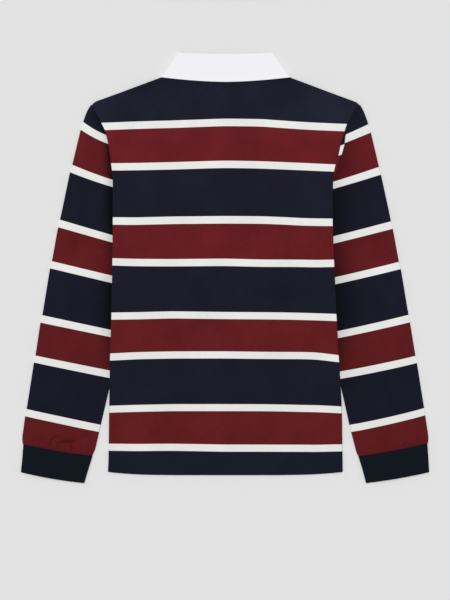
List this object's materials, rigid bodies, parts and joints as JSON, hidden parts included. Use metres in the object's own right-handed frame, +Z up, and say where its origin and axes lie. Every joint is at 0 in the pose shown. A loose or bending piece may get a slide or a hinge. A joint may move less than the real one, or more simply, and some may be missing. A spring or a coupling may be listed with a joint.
{
  "type": "long-sleeved polo shirt laid flat",
  "caption": "Child's long-sleeved rugby-style polo shirt laid flat and face down, with wide burgundy and navy bands, narrow off-white bands, white collar and navy cuffs.",
  "frame": {"origin": "middle of the underside's box, on the surface that the shirt lies on", "axes": "+Z up from the surface, towards the shirt's back; +Y along the shirt towards the collar; +X across the shirt, towards the wearer's right sleeve"},
  "size_m": [0.523, 0.5505, 0.0051],
  "materials": {
    "striped_jersey": "heavy cotton jersey in burgundy, navy and off-white bands, matt",
    "navy_cuff": "double knitted cuff, dark navy, matt",
    "white_twill": "white cotton twill, matt",
    "white_rubber": "soft white rubber, satin"
  },
  "bodies": {
    "root": {"back_panel": "striped_jersey", "front_panel": "striped_jersey", "sleeve_left": "striped_jersey", "sleeve_right": "striped_jersey", "cuff_left": "navy_cuff", "cuff_right": "navy_cuff", "collar_leaf": "white_twill", "collar_stand": "white_twill", "placket_over": "white_twill", "placket_under": "white_twill", "button_1": "white_rubber", "button_2": "white_rubber", "button_3": "white_rubber"}
  },
  "joints": []
}
